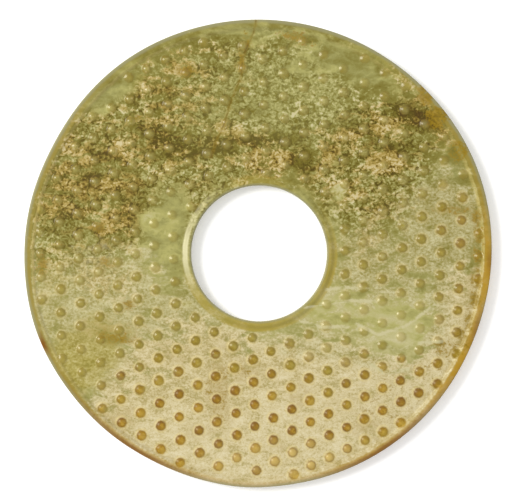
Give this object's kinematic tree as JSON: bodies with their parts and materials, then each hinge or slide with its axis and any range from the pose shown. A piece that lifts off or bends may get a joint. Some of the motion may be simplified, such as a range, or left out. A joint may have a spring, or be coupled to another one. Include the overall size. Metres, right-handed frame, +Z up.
{
  "type": "jade bi disc",
  "caption": "Flat ring of carved jade with a raised rim, a narrow collar round its central hole and rows of small round bosses on both faces.",
  "frame": {"origin": "middle of the underside, where the disc lies on its rims", "axes": "+Z up out of the carved front face, +Y to the top of the front as it is looked at, +X to its right"},
  "size_m": [0.14, 0.1402, 0.0046],
  "materials": {
    "jade": "gloss"
  },
  "bodies": {
    "root": {"jade_disc": "jade"}
  },
  "joints": []
}
